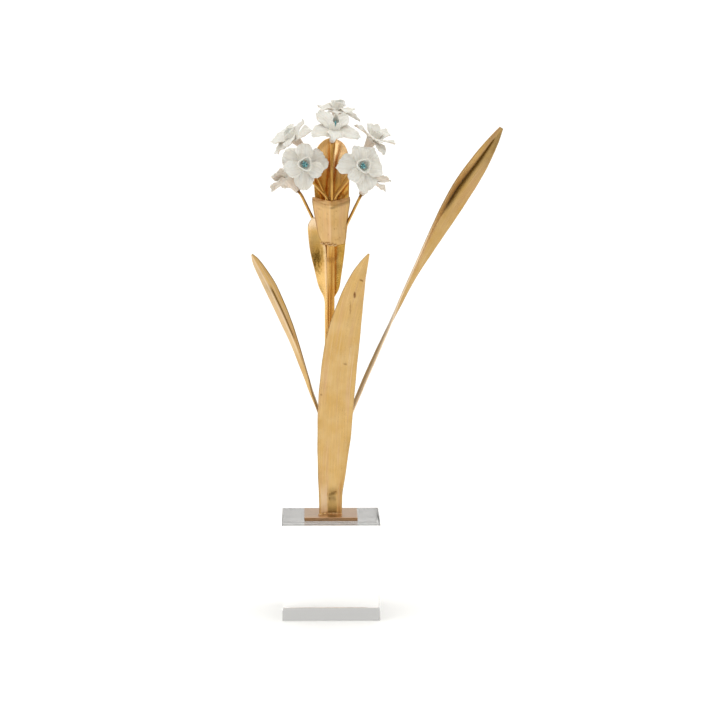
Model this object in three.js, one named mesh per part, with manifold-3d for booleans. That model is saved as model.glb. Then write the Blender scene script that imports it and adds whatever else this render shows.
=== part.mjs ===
import * as THREE from "three";
import { mergeVertices } from "three/addons/utils/BufferGeometryUtils.js";
import Module from "manifold-3d";

// A gilded paperwhite narcissus with porcelain blooms, standing on a clear block.
// Millimetres, +Z up. The origin is the centre of the block's underside, and the viewer is on the -Y side.

const wasm = await Module();
wasm.setup();

// Clearance between neighbouring pieces
const GAP = 0.3;

// Clear block
const BLOCK_SIDE = 80;
const BLOCK_HEIGHT = 79;
const BLOCK_CHAMFER = 0.6;

// Square plate that the stem and the leaves are brazed to
const PLATE_SIDE = 43.4;
const PLATE_THICKNESS = 3;
const PLATE_CHAMFER = 0.3;
const PLATE_BOTTOM = BLOCK_HEIGHT + GAP;
const PLATE_TOP = PLATE_BOTTOM + PLATE_THICKNESS;

// Square stem bar, turned so that two of its faces show
const STEM_SIDE = 5;
const STEM_TURN = THREE.MathUtils.degToRad(33);
const STEM_BOTTOM = PLATE_TOP + GAP;
const STEM_TOP = 329;

// Sheet metal of the leaves and bracts
const LEAF_THICKNESS = 1.2;
const BRACT_THICKNESS = 1.0;
const BLADE_COLUMNS = 4;
const BLADE_ROWS_PER_STATION = 2;

// Wires that carry the blooms, brazed round the stem bar
const WIRE_RADIUS = 1.2;
const WIRE_SIDES = 8;
const WIRE_STEP = 4;
const WIRE_BEND = 3;
const WIRE_STUB = 0.5;
const SOCKET_RADIUS = WIRE_RADIUS + GAP;
const SOCKET_DEPTH = 5.2;

// Porcelain bloom: a cone-shaped tube, six petals in two layers and a cup
const TUBE_LENGTH = 14.5;
const TUBE_END_RADIUS = 2.3;
const HUB_RADIUS = 4.9;
const CUP_WALL = 0.8;
const CUP_FLOOR = 1.2;
const BLOOM_SIDES = 14;
const PETAL_THICKNESS = 0.9;
const PETAL_ROOT = 2.2;
const PETAL_HALF_WIDTHS = [3.0, 5.9, 7.2, 6.7, 4.2, 0.8];
const PETAL_COLUMNS = 4;
const OUTER_LAYER_Z = -1.3;
const INNER_LAYER_Z = -0.1;
const CENTRE_RADIUS = 2.2;
const CENTRE_REACH = 0.78;
const BEAK_FLARE = 0.12;
const NOTCH_WIDTH = 2.6;

// Finishes, from the photograph
const GILT = { color: 0xc9983f, roughness: 0.32, metalness: 1 };
const PALE_GILT = { color: 0xd8ad68, roughness: 0.42, metalness: 1 };
const PORCELAIN = { color: 0xe2ded6, roughness: 0.75, metalness: 0 };
const TURQUOISE = { color: 0x3f97a3, roughness: 0.15, metalness: 0 };
const CLEAR = {
  color: 0xf4f6f6,
  roughness: 0.05,
  metalness: 0,
  transparent: true,
  opacity: 0.3,
};

const model = new THREE.Group();

function addMesh(name, geometry, finish, parent = model) {
  const mesh = new THREE.Mesh(
    geometry,
    new THREE.MeshStandardMaterial(finish),
  );
  mesh.name = name;
  parent.add(mesh);
  return mesh;
}

// Solids and their joins

function toSolid(geometry) {
  const bare = new THREE.BufferGeometry();
  bare.setAttribute("position", geometry.getAttribute("position"));
  if (geometry.index) bare.setIndex(geometry.index);
  const merged = mergeVertices(bare, 1e-4);
  return new wasm.Manifold(
    new wasm.Mesh({
      numProp: 3,
      vertProperties: new Float32Array(merged.attributes.position.array),
      triVerts: new Uint32Array(merged.index.array),
    }),
  );
}

// The largest piece of a joined solid, so that closed pockets inside it are filled.
function outerShell(solid) {
  const pieces = solid.decompose();
  return pieces.reduce((a, b) => (b.volume() > a.volume() ? b : a));
}

function toGeometry(solid) {
  const { vertProperties, triVerts } = solid.getMesh();
  const geometry = new THREE.BufferGeometry();
  geometry.setAttribute(
    "position",
    new THREE.BufferAttribute(new Float32Array(vertProperties), 3),
  );
  geometry.setIndex(new THREE.BufferAttribute(new Uint32Array(triVerts), 1));
  geometry.computeVertexNormals();
  return geometry;
}

// Blades: a grid of points on the middle surface, thickened to both sides

function surfaceNormal(grid, i, j) {
  const last = grid.length - 1;
  const side = grid[0].length - 1;
  const along = new THREE.Vector3().subVectors(
    grid[Math.min(i + 1, last)][j],
    grid[Math.max(i - 1, 0)][j],
  );
  const across = new THREE.Vector3().subVectors(
    grid[i][Math.min(j + 1, side)],
    grid[i][Math.max(j - 1, 0)],
  );
  return across.cross(along).normalize();
}

// Both faces are cut along the same diagonal, so that they stay parallel.
function bladeGeometry(grid, thickness) {
  const rows = grid.length;
  const columns = grid[0].length;
  const positions = [];
  for (const side of [1, -1]) {
    grid.forEach((row, i) =>
      row.forEach((point, j) => {
        const normal = surfaceNormal(grid, i, j);
        const moved = point
          .clone()
          .addScaledVector(normal, (side * thickness) / 2);
        positions.push(moved.x, moved.y, moved.z);
      }),
    );
  }
  const front = (i, j) => i * columns + j;
  const back = (i, j) => rows * columns + front(i, j);
  const indices = [];
  for (let i = 0; i < rows - 1; i++) {
    for (let j = 0; j < columns - 1; j++) {
      indices.push(front(i, j), front(i, j + 1), front(i + 1, j + 1));
      indices.push(front(i, j), front(i + 1, j + 1), front(i + 1, j));
      indices.push(back(i, j), back(i + 1, j + 1), back(i, j + 1));
      indices.push(back(i, j), back(i + 1, j), back(i + 1, j + 1));
    }
  }
  const rim = [];
  for (let j = 0; j < columns - 1; j++) rim.push([0, j]);
  for (let i = 0; i < rows - 1; i++) rim.push([i, columns - 1]);
  for (let j = columns - 1; j > 0; j--) rim.push([rows - 1, j]);
  for (let i = rows - 1; i > 0; i--) rim.push([i, 0]);
  rim.forEach((a, n) => {
    const b = rim[(n + 1) % rim.length];
    indices.push(front(...a), back(...b), front(...b));
    indices.push(front(...a), back(...a), back(...b));
  });
  const geometry = new THREE.BufferGeometry();
  geometry.setAttribute(
    "position",
    new THREE.Float32BufferAttribute(positions, 3),
  );
  geometry.setIndex(indices);
  return geometry;
}

// A long blade through its stations, from root to tip. Each station is
// [x, y, z, half width, fold, twist, curl]: the fold turns both halves toward the
// viewer, the twist turns the blade about its length with the right edge forward
// (both in degrees), and the curl brings the edges forward in a round trough (mm).
function bladeGrid(stations) {
  const line = new THREE.CatmullRomCurve3(
    stations.map(([x, y, z]) => new THREE.Vector3(x, y, z)),
  );
  const shape = new THREE.CatmullRomCurve3(
    stations.map(([, , , half, fold, twist]) => {
      return new THREE.Vector3(half, fold, twist);
    }),
  );
  const curls = new THREE.CatmullRomCurve3(
    stations.map((station) => new THREE.Vector3(station[6] ?? 0, 0, 0)),
  );
  line.curveType = "catmullrom";
  shape.curveType = "catmullrom";
  curls.curveType = "catmullrom";
  const steps = (stations.length - 1) * BLADE_ROWS_PER_STATION;
  const grid = [];
  for (let i = 0; i <= steps; i++) {
    const t = i / steps;
    const middle = line.getPoint(t);
    const tangent = line.getTangent(t);
    const { x: half, y: fold, z: twist } = shape.getPoint(t);
    const curl = curls.getPoint(t).x;
    const facing = new THREE.Vector3(0, -1, 0);
    facing.addScaledVector(tangent, -facing.dot(tangent)).normalize();
    facing.applyAxisAngle(tangent, -THREE.MathUtils.degToRad(twist));
    const across = tangent.clone().cross(facing);
    const lean = THREE.MathUtils.degToRad(fold);
    const row = [];
    for (let j = 0; j <= BLADE_COLUMNS; j++) {
      const v = (2 * j) / BLADE_COLUMNS - 1;
      const forward = Math.abs(v) * half * Math.sin(lean) + curl * v * v;
      row.push(
        middle
          .clone()
          .addScaledVector(across, v * half * Math.cos(lean))
          .addScaledVector(facing, forward),
      );
    }
    grid.push(row);
  }
  return grid;
}

// Leaves

const FRONT_LEAF = [
  [-0.3, -4.1, 82.9, 9.2, 0, 0, 9],
  [-0.3, -4.1, 91, 9.2, 0, 0, 8.5],
  [-0.2, -4.4, 101, 9.7, 0, 0, 7],
  [0.8, -5.6, 119.1, 11.3, 2, 0, 4.5],
  [2.5, -6.8, 146, 13.6, 4, 0, 2.5],
  [4, -8, 172.1, 14.5, 5, 0, 1.5],
  [6.5, -9, 202.1, 14.5, 6, 0, 1],
  [10.3, -10, 230.1, 13.7, 7, 0, 0.5],
  [16.5, -11.3, 258.8, 10.2, 8, 0, 0],
  [21.9, -12.5, 277.9, 6.8, 8, 0, 0],
  [26.5, -13.2, 289.4, 3.8, 6, 0, 0],
  [30.9, -14, 298.4, 0.7, 0, 0, 0],
];

const LEFT_LEAF = [
  [-5.4, 1.8, 82.7, 3.3, 30, 80],
  [-5.4, 1.8, 115, 3.3, 30, 85],
  [-5.5, 1.8, 141, 3.3, 30, 88],
  [-7.3, 1.7, 160, 3.5, 30, 90],
  [-14.7, 1.2, 182.7, 4.1, 30, 75],
  [-18.9, 0.6, 196.7, 4.6, 28, 62],
  [-27.5, -0.8, 221.8, 5, 27, 44],
  [-35.8, -2.2, 242.4, 5.6, 24, 27],
  [-45.6, -4, 263.6, 5.6, 20, 10],
  [-51.5, -5, 275.5, 5.3, 18, 8],
  [-60, -6.6, 290.4, 3.4, 12, 6],
  [-64, -7.6, 297.4, 0.8, 4, 5],
];

const RIGHT_LEAF = [
  [5.9, 1.8, 82.7, 3.6, 30, -80],
  [5.9, 1.8, 108, 3.6, 30, -85],
  [6.5, 1.8, 132, 3.7, 30, -88],
  [10, 1.9, 150, 3.8, 30, -90],
  [16, 2, 166, 4.6, 30, -90],
  [24.5, 2.3, 188, 6.2, 28, -90],
  [36.3, 3, 214.4, 5.9, 25, -90],
  [48, 4, 238.9, 6.2, 14, -85],
  [58, 5, 261.4, 5.6, 18, -68],
  [67.1, 6, 280.4, 6.2, 22, -58],
  [76.4, 7, 299.3, 8.7, 25, -52],
  [87.5, 8, 321.7, 12, 28, -46],
  [100.8, 9, 344.8, 13.2, 28, -40],
  [109.9, 9.6, 357.5, 12.1, 27, -34],
  [118.5, 10, 368.7, 10, 25, -28],
  [127.1, 10.6, 380.6, 7.1, 22, -22],
  [134.2, 11, 390.7, 4.4, 15, -20],
  [139.3, 11.4, 398.4, 1.8, 5, -20],
];

// Bracts round the flower head

const BACK_BRACT = [
  [0.8, 4.4, 261, 3, 25, 0],
  [0.9, 4.6, 268, 6.6, 24, 0],
  [1.1, 5.2, 279, 8.4, 22, 0],
  [1.2, 6, 290, 9.8, 20, 0],
  [1.3, 7.4, 309, 11.9, 18, 0],
  [1.3, 8.6, 323, 13.5, 18, 0],
  [1.2, 10, 341, 14.6, 18, 0],
  [1.1, 11.5, 355, 15, 17, 0],
  [1.1, 13.8, 372, 14.4, 15, 0],
  [1, 16, 381.4, 11.8, 12, 0],
  [0.8, 17.6, 387.2, 6.6, 8, 0],
  [0.8, 18.2, 389.6, 1.2, 3, 0],
];

const LEFT_BRACT = [
  [-3.75, -1.5, 216, 1.05, 0, 0, 0],
  [-3.75, -1.5, 246, 1.05, 0, 0, 0],
  [-4, -1.5, 260, 1.3, 0, 0, 0.2],
  [-6.4, -1.6, 271, 3.5, 0, 0, 0.6],
  [-8.4, -1.8, 285, 4.9, 0, 0, 1],
  [-10.6, -1.8, 300, 6, 0, 0, 0.6],
  [-12.6, -1.8, 313.5, 5.6, 0, 0, 0.5],
  [-13.4, -1.9, 321, 4.9, 0, 0, 0.4],
  [-13.2, -2, 326.8, 1.2, 0, 0, 0],
];

// The front bract is a plate folded along a ridge that faces the viewer, with its
// top lip bent back. Each station is [x, y, z of the ridge, half width, y and z of
// the edges].
const FRONT_BRACT = [
  [0.2, -4.4, 303.6, 6.4, -3.9, 305.5],
  [0.4, -6.6, 310.5, 10, -4.2, 312],
  [0.5, -9, 320, 12.4, -4.4, 322.5],
  [0.5, -11.3, 329.5, 14.3, -4.6, 332.5],
  [0.5, -13, 336, 15.4, -4.8, 340.3],
  [0.5, -7.2, 340.6, 15.2, -1, 343.2],
];

function foldedPlateGrid(stations) {
  return stations.map(([x, y, z, half, edgeY, edgeZ]) => {
    const row = [];
    for (let j = 0; j <= BLADE_COLUMNS; j++) {
      const v = (2 * j) / BLADE_COLUMNS - 1;
      const t = Math.abs(v);
      row.push(
        new THREE.Vector3(
          x + v * half,
          THREE.MathUtils.lerp(y, edgeY, t),
          THREE.MathUtils.lerp(z, edgeZ, t),
        ),
      );
    }
    return row;
  });
}

// Blooms. The seat is where the wire is brazed to the stem bar: the number of a face
// and the left or right half of it, or the number of a corner. The climb holds the
// height of the wire's lower end and, where it first follows the bar, the height at
// which it bends out. The cup is its rim's radius and its height, the beak is the
// direction of its widest lobe, and the notch is the direction of a nick in its rim.
// Each petal is [direction, length, lift] in degrees and mm, and the first three are
// the outer layer.
const BLOOMS = [
  {
    name: "top",
    centre: [5.9, 12, 414.1],
    axis: [0.1, -0.1, 0.99],
    seat: { face: 1, side: -1 },
    climb: [314, 344],
    cup: [5.7, 6.4],
    beak: 40,
    notch: -70,
    petals: [
      [150, 18, 6],
      [18, 20, -22],
      [-95, 17, 2],
      [90, 16, 4],
      [-30, 16.5, 6],
      [208, 16.5, 3],
    ],
  },
  {
    name: "middle",
    centre: [3.2, -14, 400.9],
    axis: [0.12, -0.6, 0.79],
    seat: { face: 3, side: -1 },
    climb: [314, 352],
    cup: [7, 9.5],
    beak: 150,
    notch: -85,
    petals: [
      [-22, 22, 6],
      [207, 21, 4],
      [92, 17, -22],
      [-88, 17, 24],
      [40, 18, 6],
      [147, 19, 3],
    ],
  },
  {
    name: "upper_left",
    centre: [-31.1, 2, 392.9],
    axis: [-0.65, -0.25, 0.72],
    seat: { face: 1, side: 1 },
    climb: [314, 343],
    cup: [6.2, 7.6],
    beak: 100,
    petals: [
      [193, 20, 0],
      [-45, 20, 2],
      [75, 19, 0],
      [160, 18.5, 16],
      [38, 16, 10],
      [-105, 17, 8],
    ],
  },
  {
    name: "left_front",
    centre: [-21.5, -20, 371.6],
    axis: [0.2, -0.95, 0.24],
    seat: { face: 2, side: 1 },
    climb: [314, 343],
    cup: [5.8, 6.8],
    beak: -66,
    petals: [
      [31, 21.5, -4],
      [162, 19.5, -3],
      [-82, 20.5, -4],
      [100, 17, 8],
      [-12, 15.5, 8],
      [210, 15.5, 8],
    ],
  },
  {
    name: "lower_left",
    centre: [-35.3, 8, 357.6],
    axis: [-0.62, 0.35, 0.67],
    seat: { corner: 1 },
    climb: [306],
    cup: [6, 7.4],
    beak: 60,
    petals: [
      [-150, 18, 2],
      [-30, 18, 0],
      [90, 18, 0],
      [-100, 17, 12],
      [30, 16, 8],
      [150, 16, 8],
    ],
  },
  {
    name: "upper_right",
    centre: [34.6, 4, 390.9],
    axis: [0.5, -0.02, 0.86],
    seat: { face: 0, side: 1 },
    climb: [314, 343],
    cup: [7.2, 10.4],
    beak: 20,
    petals: [
      [183, 18, 12],
      [-15, 20, 20],
      [-45, 18, -27],
      [110, 17, 8],
      [48, 17, 16],
      [-120, 16, 14],
    ],
  },
  {
    name: "right_front",
    centre: [25.5, -20, 370.3],
    axis: [0.26, -0.93, 0.24],
    seat: { face: 3, side: 1 },
    climb: [314, 343],
    cup: [5.9, 6.8],
    beak: -80,
    petals: [
      [184, 19.5, -4],
      [58, 17.5, -3],
      [-60, 20.5, -4],
      [112, 16.5, 8],
      [4, 16.5, 8],
      [-112, 14.5, 8],
    ],
  },
  {
    name: "lower_right",
    centre: [31.4, 6, 356.8],
    axis: [0.45, 0.3, 0.84],
    seat: { corner: 3 },
    climb: [304],
    cup: [6, 7.4],
    beak: 0,
    petals: [
      [25, 18, 0],
      [145, 15, -8],
      [-95, 16, 4],
      [-30, 20, 20],
      [85, 16, 0],
      [200, 13, -2],
    ],
  },
];

function petalGrid(length, lift, phase) {
  const rows = PETAL_HALF_WIDTHS.length - 1;
  const rise = THREE.MathUtils.degToRad(lift);
  const grid = [];
  for (let i = 0; i <= rows; i++) {
    const u = i / rows;
    const reach = u * (length - PETAL_ROOT);
    const arch = 0.9 * Math.sin(Math.PI * u);
    const half = (PETAL_HALF_WIDTHS[i] * length) / 19;
    const row = [];
    for (let j = 0; j <= PETAL_COLUMNS; j++) {
      const v = (2 * j) / PETAL_COLUMNS - 1;
      const wave = 0.9 * u * v * Math.sin(2.2 * Math.PI * u + phase);
      const cup = 0.8 * Math.sin(Math.PI * u) * v * v;
      row.push(
        new THREE.Vector3(
          PETAL_ROOT + reach * Math.cos(rise),
          v * half,
          reach * Math.sin(rise) + arch + wave + cup,
        ),
      );
    }
    grid.push(row);
  }
  return grid;
}

// Tube, hub and cup in one turned piece. The cup's rim is pulled out of round.
function tubeAndCup([cupRadius, cupHeight], beak) {
  const profile = [
    [0, SOCKET_DEPTH - TUBE_LENGTH],
    [SOCKET_RADIUS, SOCKET_DEPTH - TUBE_LENGTH],
    [SOCKET_RADIUS, -TUBE_LENGTH],
    [TUBE_END_RADIUS, -TUBE_LENGTH],
    [TUBE_END_RADIUS + 0.4, -0.75 * TUBE_LENGTH],
    [0.75 * HUB_RADIUS, -0.4 * TUBE_LENGTH],
    [HUB_RADIUS, -0.9],
    [0.94 * HUB_RADIUS, CUP_FLOOR],
    [0.88 * cupRadius, 0.5 * cupHeight],
    [cupRadius, cupHeight],
    [cupRadius - CUP_WALL, cupHeight],
    [0.88 * cupRadius - CUP_WALL, 0.5 * cupHeight],
    [0.94 * HUB_RADIUS - 1.2, CUP_FLOOR + 0.8],
    [CENTRE_RADIUS + GAP, CUP_FLOOR],
    [0, CUP_FLOOR],
  ].map(([r, z]) => new THREE.Vector2(r, z));
  const geometry = new THREE.LatheGeometry(profile, BLOOM_SIDES);
  geometry.rotateX(Math.PI / 2);
  const position = geometry.getAttribute("position");
  for (let i = 0; i < position.count; i++) {
    const z = position.getZ(i);
    const grow = THREE.MathUtils.smoothstep(z, CUP_FLOOR, cupHeight);
    const angle = Math.atan2(position.getY(i), position.getX(i)) - beak;
    const flare = 1 + grow * BEAK_FLARE * Math.cos(3 * angle);
    position.setXYZ(
      i,
      position.getX(i) * flare,
      position.getY(i) * flare,
      z + grow * 0.5 * Math.cos(2 * angle),
    );
  }
  return geometry;
}

// A wedge, point down, that cuts the nick in a cup's rim
function notchGeometry([cupRadius, cupHeight]) {
  const wedge = new THREE.Shape([
    new THREE.Vector2(0, 0.42 * cupHeight),
    new THREE.Vector2(NOTCH_WIDTH / 2, cupHeight + 2),
    new THREE.Vector2(-NOTCH_WIDTH / 2, cupHeight + 2),
  ]);
  const geometry = new THREE.ExtrudeGeometry(wedge, {
    depth: 0.8 * cupRadius,
    bevelEnabled: false,
  });
  geometry.translate(0, 0, 0.45 * cupRadius);
  geometry.rotateX(Math.PI / 2);
  return geometry.rotateZ(Math.PI / 2);
}

function bloomGeometry({ cup, beak, notch, petals }) {
  const turn = THREE.MathUtils.degToRad(beak);
  let solid = toSolid(tubeAndCup(cup, turn));
  if (notch !== undefined) {
    const wedge = notchGeometry(cup);
    wedge.rotateZ(THREE.MathUtils.degToRad(notch));
    solid = solid.subtract(toSolid(wedge));
  }
  petals.forEach(([direction, length, lift], n) => {
    const petal = bladeGeometry(
      petalGrid(length, lift, turn + 1.7 * n),
      PETAL_THICKNESS,
    );
    petal.translate(0, 0, n < 3 ? OUTER_LAYER_Z : INNER_LAYER_Z);
    petal.rotateZ(THREE.MathUtils.degToRad(direction));
    solid = solid.add(toSolid(petal));
  });
  return toGeometry(outerShell(solid));
}

// A lobed drop of glaze that stands for the bunch of stamens on the cup's floor.
function centreGeometry(cupHeight) {
  const base = CUP_FLOOR + GAP;
  const height = CENTRE_REACH * cupHeight - base;
  const profile = [
    [0, base],
    [0.85 * CENTRE_RADIUS, base],
    [CENTRE_RADIUS, base + 0.45 * height],
    [0.7 * CENTRE_RADIUS, base + 0.85 * height],
    [0, base + height],
  ].map(([r, z]) => new THREE.Vector2(r, z));
  const geometry = new THREE.LatheGeometry(profile, 12);
  geometry.rotateX(Math.PI / 2);
  const position = geometry.getAttribute("position");
  for (let i = 0; i < position.count; i++) {
    const angle = Math.atan2(position.getY(i), position.getX(i));
    const lobe = 0.94 + 0.06 * Math.cos(6 * angle);
    position.setX(i, position.getX(i) * lobe);
    position.setY(i, position.getY(i) * lobe);
  }
  return toGeometry(toSolid(geometry));
}

// The middle of a wire's foot: two wires lie side by side on a face of the bar, and
// one wire lies along a corner.
function seatPoint({ face, side, corner }) {
  const reach = STEM_SIDE / 2 + GAP + WIRE_RADIUS;
  const apart = WIRE_RADIUS + GAP / 2;
  const quarter = Math.PI / 2;
  if (corner === undefined) {
    const onFace = new THREE.Vector2(reach, side * apart);
    return onFace.rotateAround(
      new THREE.Vector2(),
      STEM_TURN + face * quarter,
    );
  }
  const onCorner = new THREE.Vector2(
    STEM_SIDE * Math.SQRT1_2 + GAP + WIRE_RADIUS,
    0,
  );
  return onCorner.rotateAround(
    new THREE.Vector2(),
    STEM_TURN + (corner + 0.5) * quarter,
  );
}

// Straight stretches through the points, with a round bend at each inner one
function bentPath(points, bend) {
  const path = new THREE.CurvePath();
  let from = points[0];
  for (let i = 1; i < points.length - 1; i++) {
    const before = new THREE.Vector3().subVectors(points[i - 1], points[i]);
    const after = new THREE.Vector3().subVectors(points[i + 1], points[i]);
    const start = points[i].clone().addScaledVector(before.normalize(), bend);
    const stop = points[i].clone().addScaledVector(after.normalize(), bend);
    path.add(new THREE.LineCurve3(from, start));
    path.add(new THREE.QuadraticBezierCurve3(start, points[i], stop));
    from = stop;
  }
  path.add(new THREE.LineCurve3(from, points[points.length - 1]));
  return path;
}

// A round wire up the stem bar, out to the bloom and along its axis into the socket
function wireGeometry(bloom, centre, axis) {
  const seat = seatPoint(bloom.seat);
  const along = (distance) => centre.clone().addScaledVector(axis, distance);
  const path = bentPath(
    [
      ...bloom.climb.map((z) => new THREE.Vector3(seat.x, seat.y, z)),
      along(-TUBE_LENGTH - WIRE_BEND - WIRE_STUB),
      along(SOCKET_DEPTH - TUBE_LENGTH - GAP),
    ],
    WIRE_BEND,
  );
  const section = new THREE.Shape();
  section.absarc(0, 0, WIRE_RADIUS, 0, 2 * Math.PI);
  const geometry = new THREE.ExtrudeGeometry(section, {
    steps: Math.round(path.getLength() / WIRE_STEP),
    curveSegments: WIRE_SIDES / 2,
    extrudePath: path,
  });
  return toGeometry(toSolid(geometry));
}

// A square bar or plate standing on z = 0, with chamfered edges
function squareSlab(side, height, chamfer) {
  const inner = side / 2 - chamfer;
  const outline = new THREE.Shape([
    new THREE.Vector2(-inner, -inner),
    new THREE.Vector2(inner, -inner),
    new THREE.Vector2(inner, inner),
    new THREE.Vector2(-inner, inner),
  ]);
  const geometry = new THREE.ExtrudeGeometry(outline, {
    depth: height - 2 * chamfer,
    bevelEnabled: true,
    bevelSegments: 1,
    bevelSize: chamfer,
    bevelThickness: chamfer,
  });
  return geometry.translate(0, 0, chamfer);
}

function addBase() {
  addMesh(
    "clear_block",
    squareSlab(BLOCK_SIDE, BLOCK_HEIGHT, BLOCK_CHAMFER),
    CLEAR,
  );
  const plate = squareSlab(PLATE_SIDE, PLATE_THICKNESS, PLATE_CHAMFER);
  addMesh("base_plate", plate, GILT).position.z = PLATE_BOTTOM;
  const bar = new THREE.BoxGeometry(
    STEM_SIDE,
    STEM_SIDE,
    STEM_TOP - STEM_BOTTOM,
  );
  const stem = addMesh("stem", bar, GILT);
  stem.position.z = (STEM_TOP + STEM_BOTTOM) / 2;
  stem.rotation.z = STEM_TURN;
}

function addBlades() {
  const leaves = {
    leaf_front: FRONT_LEAF,
    leaf_left: LEFT_LEAF,
    leaf_right: RIGHT_LEAF,
  };
  for (const [name, stations] of Object.entries(leaves)) {
    addMesh(name, bladeGeometry(bladeGrid(stations), LEAF_THICKNESS), GILT);
  }
  const bracts = {
    bract_back: bladeGrid(BACK_BRACT),
    bract_left: bladeGrid(LEFT_BRACT),
    bract_front: foldedPlateGrid(FRONT_BRACT),
  };
  for (const [name, grid] of Object.entries(bracts)) {
    addMesh(name, bladeGeometry(grid, BRACT_THICKNESS), PALE_GILT);
  }
}

function addBloom(bloom) {
  const centre = new THREE.Vector3(...bloom.centre);
  const axis = new THREE.Vector3(...bloom.axis).normalize();
  addMesh(`wire_${bloom.name}`, wireGeometry(bloom, centre, axis), GILT);
  const head = new THREE.Group();
  head.position.copy(centre);
  head.quaternion.setFromUnitVectors(new THREE.Vector3(0, 0, 1), axis);
  model.add(head);
  addMesh(`bloom_${bloom.name}`, bloomGeometry(bloom), PORCELAIN, head);
  addMesh(
    `centre_${bloom.name}`,
    centreGeometry(bloom.cup[1]),
    TURQUOISE,
    head,
  );
}

addBase();
addBlades();
BLOOMS.forEach(addBloom);

export default model;
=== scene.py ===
"""Looks of a gilded paperwhite narcissus with porcelain blooms, standing on a clear block."""

import functools
import math

import bmesh
import bpy
from mathutils import Matrix, Quaternion, Vector, noise


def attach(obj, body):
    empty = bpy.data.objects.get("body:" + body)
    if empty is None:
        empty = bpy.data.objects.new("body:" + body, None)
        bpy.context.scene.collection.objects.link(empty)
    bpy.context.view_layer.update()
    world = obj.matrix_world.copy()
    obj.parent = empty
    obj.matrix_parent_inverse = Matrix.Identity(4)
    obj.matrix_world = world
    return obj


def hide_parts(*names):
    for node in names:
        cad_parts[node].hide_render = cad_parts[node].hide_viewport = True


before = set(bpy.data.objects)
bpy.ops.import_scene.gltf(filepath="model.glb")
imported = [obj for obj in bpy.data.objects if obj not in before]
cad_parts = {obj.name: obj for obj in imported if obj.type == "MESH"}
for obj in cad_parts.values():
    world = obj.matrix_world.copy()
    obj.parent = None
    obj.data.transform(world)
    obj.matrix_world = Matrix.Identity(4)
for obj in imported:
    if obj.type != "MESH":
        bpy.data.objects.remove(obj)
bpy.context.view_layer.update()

# Lengths are in millimetres in the tables and formulas, and in metres in the meshes.
MM = 0.001
GAP = 0.3
MERGE_DISTANCE = 1e-7

# Clear block, plate and stem bar
BLOCK_SIDE = 80
BLOCK_HEIGHT = 79
BLOCK_EDGE = 0.6
PLATE_SIDE = 43.4
PLATE_THICKNESS = 3
PLATE_BOTTOM = BLOCK_HEIGHT + GAP
PLATE_TOP = PLATE_BOTTOM + PLATE_THICKNESS
STEM_SIDE = 5
STEM_TURN = math.radians(33)
STEM_BOTTOM = PLATE_TOP + GAP
STEM_TOP = 329
STEM_SEAM = 290.5

# Sheet metal
LEAF_THICKNESS = 1.2
BRACT_THICKNESS = 1.0
BLADE_RING = 96
BLADE_STEP = 1.15
EDGE_RADIUS = 0.55
EDGE_HALF_THICKNESS = 0.05

# Wires
WIRE_RADIUS = 1.2
WIRE_BEND = 3
WIRE_STUB = 0.5
WIRE_RING = 20
WIRE_STEP = 2

# Blooms
SOCKET_RADIUS = 1.5
SOCKET_DEPTH = 5.2
TUBE_LENGTH = 14.5
HUB_RADIUS = 4.9
CUP_FLOOR = 1.2
CUP_STEPS = 84
PETAL_ROOT = 2.2
PETAL_THICKNESS = 0.75
POINTED_HALF_WIDTHS = (3.0, 4.9, 6.3, 6.9, 6.7, 5.7, 4.2, 2.5, 0.7)
BLUNT_HALF_WIDTHS = (3.0, 4.6, 6.2, 7.6, 8.6, 9.1, 9.0, 8.1, 4.8)
PETAL_RING = 56
PETAL_ROWS = 36
OUTER_PETALS = 3
OUTER_LAYER_Z = -1.3
INNER_LAYER_Z = -0.1
CENTRE_REACH = 0.78
STAMENS = 6

# Brazing and weld beads
FOOT_BEADS = 23
FOOT_BEAD_REACH = 0.97
SIDE_BEADS = 6
SIDE_BEAD_STEP = 1.1
STEM_BEADS = 8
WELD_BEADS = 15
WELD_STEP = 0.85
BEAD_LIFT = 0.35

# Studio, in metres. A soft box is the way to it, its half angle and what it adds to the
# room's brightness.
FLOOR_RADIUS = 14
FLOOR_DROP = 0.0002
ROOM_BRIGHTNESS = 0.57
SOFT_BOXES = [
    ((0, 0, 1), 74, 1.0),
    ((-0.6, -0.7, 0.4), 34, 0.5),
    ((0.9, -0.35, 0.25), 35, 0.25),
    ((0, -1, 0.1), 60, -0.3),
]

# Azimuth, elevation, strength and spread of the sun lamp, which gives the soft shadow
KEY_SUN = (-38, 48, 0.12, 40)

# Camera, in metres, degrees and the lens's millimetres
CAMERA_PLACE = (-0.03346, -3.59984, 0.75943)
CAMERA_TILT = 81.31
CAMERA_TURN = -0.914
CAMERA_LENS = 222.8
CAMERA_SENSOR = 36

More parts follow.
